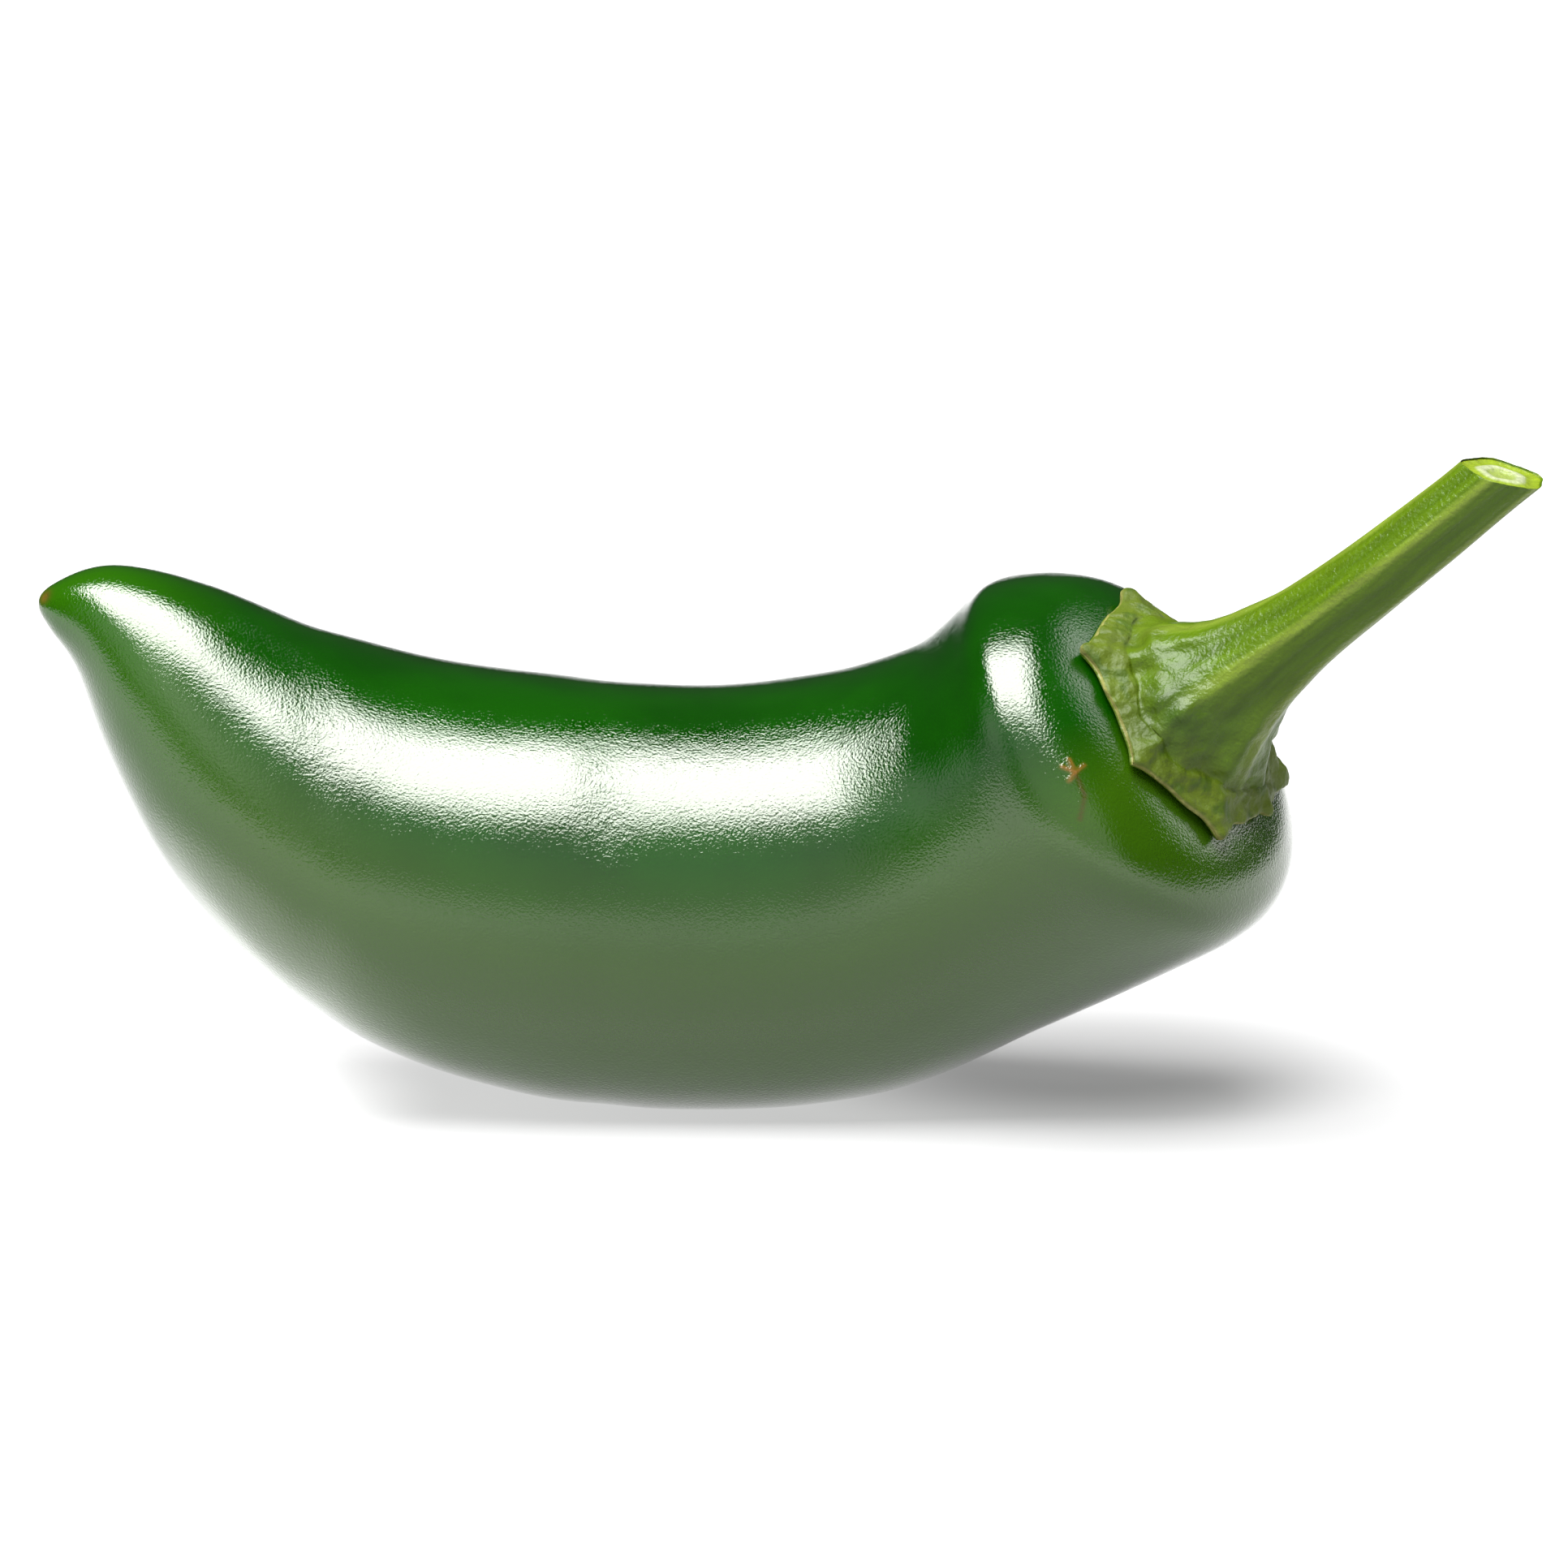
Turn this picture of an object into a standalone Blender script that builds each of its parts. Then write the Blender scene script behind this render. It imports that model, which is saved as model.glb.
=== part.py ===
"""A whole green jalapeno pepper, lying on its belly as picked.

It has two solids: the pod, and the stem with its calyx, which grew as one piece.
+X runs from the tip towards the stem, +Y is the back and +Z is up, all in metres. The origin is
on the small flat spot of the belly that the pepper rests on, about under its weight.
"""

import math

import bmesh
import bpy
import numpy as np

COLLECTION_NAME = "jalapeno_pepper"

# The pod is a row of oval rings from the blunt tip to the stem end. Each ring has the place of
# its middle along the pod (x) and above the table (z), the slope of the pod there in degrees,
# and its half height and half width. The first and last rings are the two ends.
POD_RINGS = (
    (-0.0434, 0.0327, 0, 0.0000, 0.0000),
    (-0.0425, 0.0325, -5, 0.0015, 0.0015),
    (-0.0397, 0.0318, -20, 0.0036, 0.0035),
    (-0.0356, 0.0283, -31, 0.0064, 0.0063),
    (-0.0301, 0.0228, -27, 0.0094, 0.0091),
    (-0.0215, 0.0173, -15, 0.0122, 0.0118),
    (-0.0117, 0.0145, -7, 0.0135, 0.0131),
    (-0.0010, 0.0135, -1, 0.0136, 0.0133),
    (0.0090, 0.0146, 8, 0.0136, 0.0134),
    (0.0168, 0.0178, 20, 0.0128, 0.0131),
    (0.0229, 0.0207, 30, 0.0125, 0.0130),
    (0.0262, 0.0225, 36, 0.0124, 0.0129),
    (0.0280, 0.0237, 37, 0.0117, 0.0120),
    (0.0290, 0.0250, 37, 0.0102, 0.0102),
    (0.0295, 0.0261, 37, 0.0077, 0.0077),
    (0.0298, 0.0271, 37, 0.0040, 0.0040),
    (0.0298, 0.0271, 37, 0.0000, 0.0000),
)
# Half heights and half widths change sign where the surface runs on past either end.
RING_MIRROR = (1, 1, 1, -1, -1)

# The stem end bends round to the front on a parabola that starts at this x.
BEND_START = 0.004
BEND_RADIUS = 0.042

# The shoulder has a knuckle on top, which rises behind a crease across the pod. Its crest slants:
# at KNUCKLE_LEVEL above the table the rise is KNUCKLE_RUN long, and it is shorter higher up. Its
# middle and width are angles round the pod in degrees. A ring of KNUCKLE_GIRTH is lifted by all
# of KNUCKLE_HEIGHT.
CREASE_X = 0.0128
CREASE_SOFTNESS = 0.015
CREST_SOFTNESS = 0.04
KNUCKLE_RUN = 0.0077
KNUCKLE_LEVEL = 0.025
KNUCKLE_SLANT = 0.34
KNUCKLE_LEAST = 0.004
KNUCKLE_HEIGHT = 0.0028
KNUCKLE_GIRTH = 0.0128
KNUCKLE_MIDDLE = 96
KNUCKLE_WIDTH = 62

# Three shallow lobes grow towards the stem end, one of them under the knuckle. Their depth is a
# share of the pod's half width.
LOBES = 3
LOBE_MIDDLE = 100
LOBE_DEPTH = 0.015
LOBE_RUN = 0.021

# Towards the tip the pod's section leans: it grows wider along a line from the back, 26 degrees
# up, to the front. It leans most at LEAN_X, by a share of its half width, and fades over LEAN_RUN.
LEAN_X = -0.027
LEAN_RUN = 0.014
LEAN_DEPTH = 0.075
LEAN_SIDE = 26

# The belly is pressed flat by this much where it rests.
PRESS = 0.0003

# The calyx: the angle of each tooth round the stem in degrees, and how far out its point is.
TEETH = (
    (19, 0.0083),
    (78, 0.0086),
    (131, 0.0081),
    (188, 0.0081),
    (244, 0.0082),
    (287, 0.0073),
    (319, 0.0084),
)
TOOTH_HALF_WIDTH = 7
BRIM_RADIUS = 0.0069
BRIM_GAP = 0.0003

# The brim's rings, under and over: their share of the way out to its toothed edge, and on top
# also their height above the pod's skin. The stem springs from the crease inside the brim.
BRIM_UNDER = (0, 0.3, 0.6, 0.8, 1)
BRIM_OVER = ((1, 0.0009), (0.5, 0.0012), (0, 0.0014))
CREASE_RADIUS = 0.0057

# The stem follows a smooth line through these points. Each girth is a distance along that line
# and the stem's radius there.
STEM_LINE = (
    (0.0299, -0.0080, 0.0271),
    (0.0363, -0.0114, 0.0325),
    (0.0428, -0.0140, 0.0380),
    (0.0496, -0.0158, 0.0440),
)
STEM_GIRTH = (
    (0.0022, 0.0053),
    (0.0036, 0.0045),
    (0.0055, 0.0037),
    (0.0080, 0.0031),
    (0.0115, 0.0026),
    (0.0160, 0.0024),
    (0.0205, 0.0023),
    (0.0250, 0.0022),
    (0.0276, 0.0022),
)
STEM_RIDGES = 5
RIDGE_HEIGHT = 0.05
RIDGE_MIDDLE = 40
CUT_FACING = (0.23, -0.14, 0.96)
PITH_RADIUS = 0.0011

# How finely the shapes are drawn.
POD_COLUMNS = 56
POD_ROWS = 46
STEM_COLUMNS = 84
LINE_STEPS = 200
SHARP_ANGLE = math.radians(40)


def smooth_rows(rows, place, mirror):
    """Values on a smooth curve through the rows, at places from 0 to len(rows) - 1.

    The curve runs on past each end as its own mirror image, so that a ring of no width at the
    end closes the surface without a point or a pit.
    """
    rows = np.asarray(rows, float)
    padded = np.vstack([rows[1] * mirror, rows, rows[-2] * mirror])
    index = np.clip(np.floor(place), 0, len(rows) - 2).astype(int)
    u = (place - index)[..., None]
    a, b, c, d = (padded[index + step] for step in range(4))
    return b + u / 2 * (c - a + u * (2 * a - 5 * b + 4 * c - d + u * (3 * (b - c) + d - a)))


def turn_from(angle, middle):
    """Degrees from a middle in degrees to an angle in radians, from -180 to 180."""
    return (np.degrees(angle) - middle + 180) % 360 - 180


def pod_axes(x, slope):
    """The unit vectors up and back across the pod at x."""
    yaw = np.arctan(np.maximum(x - BEND_START, 0) / BEND_RADIUS)
    pitch = np.radians(slope)
    up = (-np.sin(pitch) * np.cos(yaw), np.sin(pitch) * np.sin(yaw), np.cos(pitch))
    back = (np.sin(yaw), np.cos(yaw), 0 * yaw)
    return np.stack(up, -1), np.stack(back, -1)


def knuckle(skin, angle):
    """How far the shoulder's knuckle lifts the skin, from the crease to its slanting crest."""
    length = np.maximum(KNUCKLE_RUN - KNUCKLE_SLANT * (skin[..., 2] - KNUCKLE_LEVEL), KNUCKLE_LEAST)
    run = (skin[..., 0] - CREASE_X) / length
    rise = ramp(run, CREASE_SOFTNESS) - ramp(run - 1, CREST_SOFTNESS)
    side = np.exp(-((turn_from(angle, KNUCKLE_MIDDLE) / KNUCKLE_WIDTH) ** 4))
    return KNUCKLE_HEIGHT * rise * side


def ramp(run, softness):
    """A run where it is above zero, and zero below, with a soft bend between."""
    return (run + np.sqrt(run * run + softness)) / 2


def pod_skin(place, angle):
    """Points of the pod's skin: place counts rings from the tip, and 90 degrees is on top."""
    x, z, slope, high, wide = np.moveaxis(smooth_rows(POD_RINGS, place, RING_MIRROR), -1, 0)
    bend = np.maximum(x - BEND_START, 0)
    middle = np.stack([x, -bend * bend / (2 * BEND_RADIUS), z], -1)
    up, back = pod_axes(x, slope)
    lobes = np.cos(LOBES * (angle - math.radians(LOBE_MIDDLE)))
    swell = 1 + LOBE_DEPTH * lobes * np.minimum(bend / LOBE_RUN, 1)
    lean = LEAN_DEPTH * np.exp(-(((x - LEAN_X) / LEAN_RUN) ** 2))
    swell += lean * np.cos(2 * (angle - math.radians(LEAN_SIDE)))
    out = (high * np.sin(angle))[..., None] * up + (wide * np.cos(angle))[..., None] * back
    skin = middle + swell[..., None] * out
    lift = knuckle(skin, angle) * high / KNUCKLE_GIRTH**2
    skin = skin + lift[..., None] * out
    skin[..., 2] = np.maximum(skin[..., 2] - PRESS, 0)
    return skin


def shoulder_skin(radius, angle):
    """Points of the pod's skin at a distance from the middle of the stem end."""
    last = len(POD_RINGS) - 1
    widest = int(np.argmax([ring[0] + ring[3] for ring in POD_RINGS]))
    places = np.linspace(last, widest, LINE_STEPS)
    reach = smooth_rows(POD_RINGS, places, RING_MIRROR)[:, 3]
    return pod_skin(np.interp(radius, reach, places), angle)


def stem_frame(along):
    """The stem's middle at a distance along it, and its unit vectors ahead, up and back."""
    line = np.asarray(STEM_LINE)
    line = np.vstack([2 * line[0] - line[1], line, 2 * line[-1] - line[-2]])
    points = smooth_rows(line, np.linspace(1, len(STEM_LINE), LINE_STEPS), 1)
    lengths = np.append(0, np.cumsum(np.linalg.norm(np.diff(points, axis=0), axis=1)))
    middle, ahead = (
        np.array([np.interp(along, lengths, column) for column in columns.T])
        for columns in (points, np.gradient(points, axis=0))
    )
    ahead /= np.linalg.norm(ahead)
    up, _ = pod_axes(POD_RINGS[-1][0], POD_RINGS[-1][2])
    up = up - (up @ ahead) * ahead
    up /= np.linalg.norm(up)
    return middle, ahead, up, np.cross(up, ahead)


def brim_reach(angle):
    """How far out the calyx's toothed brim reaches."""
    reach = np.full_like(angle, BRIM_RADIUS)
    for middle, point in TEETH:
        turn = np.abs(turn_from(angle, middle)) / TOOTH_HALF_WIDTH
        reach = reach + (point - BRIM_RADIUS) * np.exp(-turn)
    return reach


def calyx_ring(reach, height, angle):
    """A ring of the calyx, at a height above the pod's skin."""
    _, ahead, _, _ = stem_frame(0)
    return shoulder_skin(reach, angle) + height * ahead


def stem_ring(along, radius, angle):
    """A ring round the stem. The rings lean over, more and more, into the slanting cut."""
    middle, ahead, up, back = stem_frame(along)
    ridges = 1 + RIDGE_HEIGHT * np.cos(STEM_RIDGES * (angle - math.radians(RIDGE_MIDDLE)))
    out = np.sin(angle)[..., None] * up + np.cos(angle)[..., None] * back
    out = (radius * ridges)[..., None] * out
    length = STEM_GIRTH[-1][0]
    lean = -(out @ CUT_FACING) / (ahead @ CUT_FACING) * (along / length) ** 2
    return middle + out + lean[..., None] * ahead


def stem_rings(angle):
    """Every ring of the stem and calyx, from the middle of its underside to the cut's middle."""
    brim = brim_reach(angle)
    rings = [calyx_ring(share * brim, BRIM_GAP, angle) for share in BRIM_UNDER]
    for share, height in BRIM_OVER:
        reach = CREASE_RADIUS + share * (brim - CREASE_RADIUS)
        rings.append(calyx_ring(reach, height, angle))
    rings += [stem_ring(along, radius, angle) for along, radius in STEM_GIRTH]
    length = STEM_GIRTH[-1][0]
    return rings + [stem_ring(length, radius, angle) for radius in (PITH_RADIUS, 0)]


def sphere_mesh(name, columns, rows, point_at):
    """A UV sphere whose points are moved to point_at(place, angle), with place from 0 to 1."""
    sphere = bmesh.new()
    bmesh.ops.create_uvsphere(sphere, u_segments=columns, v_segments=rows, radius=1)
    start = np.array([vertex.co for vertex in sphere.verts])
    place = np.arccos(np.clip(-start[:, 2], -1, 1)) / math.pi
    angle = np.arctan2(start[:, 1], start[:, 0])
    for vertex, point in zip(sphere.verts, point_at(place, angle)):
        vertex.co = point
    mesh = bpy.data.meshes.new(name)
    sphere.to_mesh(mesh)
    sphere.free()
    return mesh


def pod_mesh():
    last = len(POD_RINGS) - 1
    return sphere_mesh(
        "pod", POD_COLUMNS, POD_ROWS, lambda place, angle: pod_skin(place * last, angle)
    )


def stem_mesh():
    rows = len(stem_rings(np.zeros(1))) - 1

    def point_at(place, angle):
        rings = np.array(stem_rings(angle))
        return rings[np.rint(place * rows).astype(int), np.arange(len(angle))]

    return sphere_mesh("stem_and_calyx", STEM_COLUMNS, rows, point_at)


def add_piece(mesh, colour, roughness, collection):
    """An object with its own material, named as its mesh is."""
    material = bpy.data.materials.new(mesh.name)
    material.use_nodes = True
    shader = material.node_tree.nodes["Principled BSDF"]
    shader.inputs["Base Color"].default_value = (*colour, 1)
    shader.inputs["Roughness"].default_value = roughness
    mesh.materials.append(material)
    mesh.shade_smooth()
    mesh.set_sharp_from_angle(angle=SHARP_ANGLE)
    collection.objects.link(bpy.data.objects.new(mesh.name, mesh))


def main():
    for old in list(bpy.data.objects):
        bpy.data.objects.remove(old)
    collection = bpy.data.collections.new(COLLECTION_NAME)
    bpy.context.scene.collection.children.link(collection)
    add_piece(pod_mesh(), colour=(0.03, 0.16, 0.01), roughness=0.2, collection=collection)
    add_piece(stem_mesh(), colour=(0.22, 0.34, 0.05), roughness=0.5, collection=collection)


main()
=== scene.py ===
"""A whole green jalapeno pepper, lying on its belly on a white sheet that is lit from below.

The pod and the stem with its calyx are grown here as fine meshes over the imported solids, in the
same frame: metres, +X from the tip towards the stem, +Y to the back and +Z up.
"""
import math

import bpy
import numpy as np
from mathutils import Euler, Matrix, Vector, noise


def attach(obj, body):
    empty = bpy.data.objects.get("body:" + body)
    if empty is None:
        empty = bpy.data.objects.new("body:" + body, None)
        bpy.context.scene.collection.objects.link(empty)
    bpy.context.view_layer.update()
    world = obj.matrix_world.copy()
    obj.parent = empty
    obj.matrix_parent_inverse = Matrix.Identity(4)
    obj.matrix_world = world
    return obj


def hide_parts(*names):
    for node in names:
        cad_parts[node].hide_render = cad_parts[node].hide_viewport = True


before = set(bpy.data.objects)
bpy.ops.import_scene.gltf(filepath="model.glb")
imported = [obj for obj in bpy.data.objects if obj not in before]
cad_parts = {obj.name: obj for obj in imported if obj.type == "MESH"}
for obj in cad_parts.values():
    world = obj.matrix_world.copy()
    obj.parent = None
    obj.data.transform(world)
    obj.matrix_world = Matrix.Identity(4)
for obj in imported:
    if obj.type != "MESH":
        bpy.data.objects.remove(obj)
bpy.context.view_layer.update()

bl_info = {
    "name": "Jalapeno pepper",
    "version": (1, 0, 0),
    "blender": (4, 5, 0),
    "location": "3D View > Sidebar > Pepper",
    "description": "Grows a green jalapeno pod, its stem with the calyx, and a small white stage",
    "category": "Add Mesh",
}

MM = 0.001

# The pod's rings, tip to stem end: x and z of the middle, slope in degrees, half height and width.
POD_RINGS = (
    (-0.0434, 0.0327, 0, 0.0000, 0.0000),
    (-0.0425, 0.0325, -5, 0.0015, 0.0015),
    (-0.0397, 0.0318, -20, 0.0036, 0.0035),
    (-0.0356, 0.0283, -31, 0.0064, 0.0063),
    (-0.0301, 0.0228, -27, 0.0094, 0.0091),
    (-0.0215, 0.0173, -15, 0.0122, 0.0118),
    (-0.0117, 0.0145, -7, 0.0135, 0.0131),
    (-0.0010, 0.0135, -1, 0.0136, 0.0133),
    (0.0090, 0.0146, 8, 0.0136, 0.0134),
    (0.0168, 0.0178, 20, 0.0128, 0.0131),
    (0.0229, 0.0207, 30, 0.0125, 0.0130),
    (0.0262, 0.0225, 36, 0.0124, 0.0129),
    (0.0280, 0.0237, 37, 0.0117, 0.0120),
    (0.0290, 0.0250, 37, 0.0102, 0.0102),
    (0.0295, 0.0261, 37, 0.0077, 0.0077),
    (0.0298, 0.0271, 37, 0.0040, 0.0040),
    (0.0298, 0.0271, 37, 0.0000, 0.0000),
)
# Past the tip and the stem end the rings run on as their mirror, so their half sizes turn about.
RING_MIRROR = (1, 1, 1, -1, -1)
# From BEND_START on, the pod's middle bends to the front.
BEND_START = 0.004
BEND_RADIUS = 0.042
# The knuckle: the skin rises from the crease to a crest, over a shorter run the higher it lies.
CREASE_X = 0.0128
CREASE_SOFTNESS = 0.015
CREST_SOFTNESS = 0.04
KNUCKLE_RUN = 0.0077
KNUCKLE_LEVEL = 0.025
KNUCKLE_SLANT = 0.34
KNUCKLE_LEAST = 0.004
KNUCKLE_HEIGHT = 0.0028
KNUCKLE_GIRTH = 0.0128
KNUCKLE_MIDDLE = 96
KNUCKLE_WIDTH = 62
# The lobes of the seed chamber, and the lean of the section near the tip.
LOBES = 3
LOBE_MIDDLE = 100
LOBE_DEPTH = 0.015
LOBE_RUN = 0.021
LEAN_X = -0.027
LEAN_RUN = 0.014
LEAN_DEPTH = 0.075
LEAN_SIDE = 26
# How deep the flat spot that the pod rests on cuts into the round belly.
PRESS = 0.0003

# The skin's slow waves: size, seed and share of their full height.
SKIN_WAVES = ((0.009, 3.7, 1.0), (0.0025, 11.3, 0.25))
# Shallow dips across the pod, where its seed chamber narrows: x, depth and half width.
WAISTS = ((-0.0257, 0.00010, 0.0016), (-0.0072, 0.00010, 0.0019))
# The corky scar on the shoulder: the ends of its cracks, from its middle. Then its tail, and the
# scar of the flower's style at the tip.
CORK_MIDDLE = (0.02263, -0.01646, 0.02484)
CORK_ENDS = (
    (0.0218, -0.01642, 0.0252),
    (0.02226, -0.01609, 0.0256),
    (0.0232, -0.0160, 0.0252),
    (0.02226, -0.01677, 0.02437),
)
CORK_TAIL = (CORK_MIDDLE, (0.02325, -0.01704, 0.02347), (0.02294, -0.01764, 0.02206))
STYLE_SCAR = (-0.0431, -0.0006, 0.0330)
CRACK_WIDTH = 0.00013
CRACK_HEIGHT = 0.00006
TAIL_WIDTH = 0.00014
SCAR_WIDTH = 0.0005
SCAR_DEPTH = 0.00015
# How thickly cork covers the style scar, and how thickly brown covers it and the tail.
SCAR_CORK = 0.5
SCAR_BROWN = 0.4
TAIL_BROWN = 0.7
# Skin that is leathery, so the light on it breaks up: across the waists, and in a patch above the
# right half of the highlight. Angles are in degrees, where 90 is the top of the pod.
LEATHER_BAND = (138, 30)
LEATHER_PATCH = (118, 20.05)
LEATHER_PATCH_X = ((-0.009, 0), (-0.004, 0.6), (0.008, 0.6), (0.012, 0))
# The young skin sets in at YOUNG_END and is full YOUNG_BLEND nearer to the tip. The yellower skin
# of the belly, partly its own colour and partly painted light bounced up from the sheet, sets in
# below BELLY_AND_BOUNCE_LIGHT_START, a share of the half height, and is full
# BELLY_AND_BOUNCE_LIGHT_BLEND lower.
YOUNG_END = -0.030
YOUNG_BLEND = 0.012
BELLY_AND_BOUNCE_LIGHT_START = 0.35
BELLY_AND_BOUNCE_LIGHT_BLEND = 0.5

# The calyx's teeth: degrees round the stem, and reach. Then how wide and how far out their points
# and ribs are, how the brim bulges between them, and how its edge wanders.
TEETH = (
    (19, 0.0079),
    (78, 0.0082),
    (131, 0.0078),
    (188, 0.0077),
    (244, 0.0079),
    (287, 0.0072),
    (319, 0.0080),
)
TOOTH_HALF_WIDTH = 5
TOOTH_POINT = 0.0004
RIB_HALF_WIDTH = 7
BRIM_BULGE = 0.04
BRIM_WANDER = 0.00008
BRIM_WAVES = (11, 4)
# Height above the skin at shares of the way from the crease out to the brim's edge.
BRIM_UNDER = ((0.0, 0.0003), (0.6, 0.0003), (0.9, 0.0003))
BRIM_EDGE = ((1.0, 0.00042), (1.02, 0.0006), (1.0, 0.0008))
BRIM_OVER = ((0.85, 0.00092), (0.55, 0.0011), (0.25, 0.0013), (0.0, 0.0014))
# The crease between the brim and the stem's foot: its radius, and how it wanders as it goes
# round: waves, phase and share of the radius.
CREASE_RADIUS = 0.0057
CREASE_WANDER = ((4, 1, 0.05), (9, 0, 0.03))
# The stem's line, from its foot to the cut, and its girth: distance along it, and radius.
STEM_LINE = (
    (0.0299, -0.0080, 0.0271),
    (0.0363, -0.0114, 0.0325),
    (0.0428, -0.0140, 0.0380),
    (0.0496, -0.0158, 0.0440),
)
STEM_GIRTH = (
    (0.0022, 0.0053),
    (0.0036, 0.0045),
    (0.0055, 0.0037),
    (0.0080, 0.0031),
    (0.0115, 0.0026),
    (0.0160, 0.0024),
    (0.0205, 0.0023),
    (0.0250, 0.0022),
    (0.0272, 0.0022),
    (0.0276, 0.00217),
)
# The stem's ridges: how many, their height as a share of the radius, and the turn of the first.
# Then the way that the stem's cut faces.
STEM_RIDGES = 5
RIDGE_HEIGHT = 0.05
RIDGE_MIDDLE = 40
CUT_FACING = (0.23, -0.14, 0.96)
# Painted shade in the hollow in front of the stem's foot, coloured a darker green: its middle,
# how far it spreads, how thickly it is coloured, and the size and seed of the waves that make it
# patchy.
THROAT_SHADE = (0.0291, -0.0137, 0.0279)
THROAT_SHADE_SPREAD = 0.0026
THROAT_SHADE_COLOUR = 0.75
THROAT_SHADE_PATCHES = (0.0015, 3.3)
# Noise on the stem and calyx: size and seed. The last two are in the fibres' own place, which is
# in millimetres: FIBRE_GIRTH from the stem's middle, and pressed together FIBRE_STRETCH times
# along it, so that noise comes out as long streaks.
FRAY_WAVES = (0.0009, 4.4)
BRIM_WRINKLES = (0.0011, 5.1)
BRIM_CRUMPLES = (0.00045, 6.4)
CUT_WAVES = (0.0005, 7.7)
FIBRE_RELIEF = (0.45, 8.2)
RIDGE_DRIFT = (1.3, 2.9)
FIBRE_GIRTH = 2.5
FIBRE_STRETCH = 8
# How far the noise moves the brim's inner edge and the tissues of the cut, in rings, and the
# ridges, in radians of a wave.
FRAY = 1.3
CUT_FRAY = 0.25
RIDGE_WANDER = 0.35
# The ridge colour covers the tops of the ridges from the first level up, and the groove colour
# the valleys from the second level down, as thickly as GROOVE_COLOUR. The paler tops are partly
# the stem's own colour and partly painted highlight, and the darker valleys partly painted shade.
RIDGE_START = 0.6
GROOVE_START = -0.1
GROOVE_COLOUR = 0.4
# How thickly each tissue shows, in rings inwards from the edge of the cut.
CORTEX_SHARE = ((0, 0), (0.5, 1), (8, 1))
WOOD_SHARE = ((0, 0), (3.0, 0.05), (3.6, 0.9), (4.7, 1), (5.3, 0.35), (6, 0.25), (8, 0.25))
# Shares of the stem's radius across the cut, and how far each lies above the cut's plane.
CUT_RINGS = (
    (0.94, 0.00000),
    (0.80, -0.00010),
    (0.66, -0.00004),
    (0.52, 0.00006),
    (0.38, 0.00000),
    (0.26, -0.00014),
    (0.12, -0.00016),
    (0.00, -0.00016),
)
# How finely a curve is sampled to measure it, and the rows of faces from ring to ring of the stem.
LINE_STEPS = 200
STEM_ROWS = 7

# Sizes of the patterns in the materials, in millimetres.
PATCH_MM = 9
SKIN_CELL_MM = 0.17
SKIN_WRINKLE_MM = 0.8
STREAK_MM = 0.4
BLOT_MM = 1.6
STEM_CELL_MM = 0.3

# The lamps: name, the point each is turned to, turns in degrees about X, Y and Z from pointing
# straight down, how far away, width and height, and how bright each is against the first.
POD_MIDDLE = (0, -0.004, 0.018)
SHOULDER = (0.018, -0.012, 0.025)
LAMPS = (
    ("overhead_softbox", POD_MIDDLE, (16, -10.5, 0), 0.50, 0.49, 0.41, 1.0),
    ("front_card", POD_MIDDLE, (69, 0, 2), 0.90, 1.20, 0.84, 0.044),
    ("left_card", SHOULDER, (70, 0, -59), 0.14, 0.074, 0.072, 0.05),
    ("right_card", POD_MIDDLE, (58, 0, 112), 0.60, 0.34, 0.43, 0.14),
)

# Painted shadow and painted light on the sheet, as spots where the light under it is weaker or
# stronger: the place in millimetres, how far from it the change begins and stops to fade, and the
# change. Weaker under the shoulder is a painted shadow, stronger beside the tip a painted pool of
# light, weaker in front on the right painted shade, and weaker round the pepper, fading out by
# 240 mm, painted shade too.
PAINTED_LIGHT_AND_SHADOW_SPOTS = (
    ((24, 12, 0), 8.0, 24.0, -0.36),
    ((-45, 0, 0), 12.0, 28.0, 0.9),
    ((25, -60, 0), 30.0, 75.0, -0.25),
    ((0, 0, 0), 50.0, 240.0, -0.48),
)
FLOOR_SIZE = 6
ROOM_LIGHT = 0.03
# The width that the frame shows, and its middle: x, and the height in the camera's own upright.
FRAME_WIDTH = 0.1003
FRAME_X = 0.0042
FRAME_RISE = 0.02015
CAMERA_REACH = 20


def linear(hex_colour):
    """An sRGB hex colour as linear red, green and blue."""
    values = np.array([int(hex_colour[i:i + 2], 16) for i in (0, 2, 4)]) / 255
    low = values / 12.92
    high = ((values + 0.055) / 1.055) ** 2.4
    return tuple(float(v) for v in np.where(values <= 0.04045, low, high))


class PodSettings(bpy.types.PropertyGroup):
    skin: bpy.props.FloatVectorProperty(
        name="Skin", description="Colour of the ripe green skin", subtype="COLOR",
        size=3, min=0, max=1, default=linear("073700"))
    deep: bpy.props.FloatVectorProperty(
        name="Deep green", description="Colour of the darker patches of skin",
        subtype="COLOR", size=3, min=0, max=1, default=linear("042e00"))
    # The belly colour is partly the skin's own yellower tone and partly painted bounce light from the
    # sheet.
    belly: bpy.props.FloatVectorProperty(
        name="Belly", description="Colour of the yellower skin of the belly",
        subtype="COLOR", size=3, min=0, max=1, default=linear("254502"))
    tip: bpy.props.FloatVectorProperty(
        name="Tip", description="Colour of the younger skin at the tip", subtype="COLOR",
        size=3, min=0, max=1, default=linear("1c4800"))
    cork: bpy.props.FloatVectorProperty(
        name="Cork", description="Colour of the corky scar", subtype="COLOR",
        size=3, min=0, max=1, default=linear("6b4a1c"))
    tail: bpy.props.FloatVectorProperty(
        name="Scar tail", description="Colour of the brown tail of the scar",
        subtype="COLOR", size=3, min=0, max=1, default=linear("3a2408"))
    wave: bpy.props.FloatProperty(
        name="Waves", description="Height of the skin's slow waves", default=0.00006,
        min=0, subtype="DISTANCE", unit="LENGTH")
    columns: bpy.props.IntProperty(
        name="Columns", description="Faces round the pod", default=420, min=24, max=440)
    rows: bpy.props.IntProperty(
        name="Rows", description="Faces from the tip to the stem end", default=224, min=24, max=225)


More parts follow.
